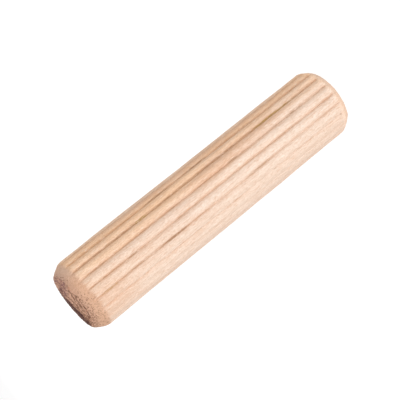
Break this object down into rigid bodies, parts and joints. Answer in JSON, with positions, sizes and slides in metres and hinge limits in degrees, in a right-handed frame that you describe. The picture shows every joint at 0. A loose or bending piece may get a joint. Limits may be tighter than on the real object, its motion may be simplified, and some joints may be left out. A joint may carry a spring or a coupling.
{
  "type": "dowel pin",
  "caption": "Straight hardwood joinery pin, round, with rounded ridges and narrow flutes along its whole length and a bevel at each sawn end.",
  "frame": {"origin": "centre of the sawn face at the foot, which is the bottom of the bounding box", "axes": "+Z along the pin's axis, from the foot to the head, which has the longer bevel; +X through the middle of a flute"},
  "size_m": [0.008, 0.008, 0.0355],
  "materials": {
    "bare_wood": "bare, moulded and unsanded"
  },
  "bodies": {
    "root": {"dowel_pin": "bare_wood"}
  },
  "joints": []
}
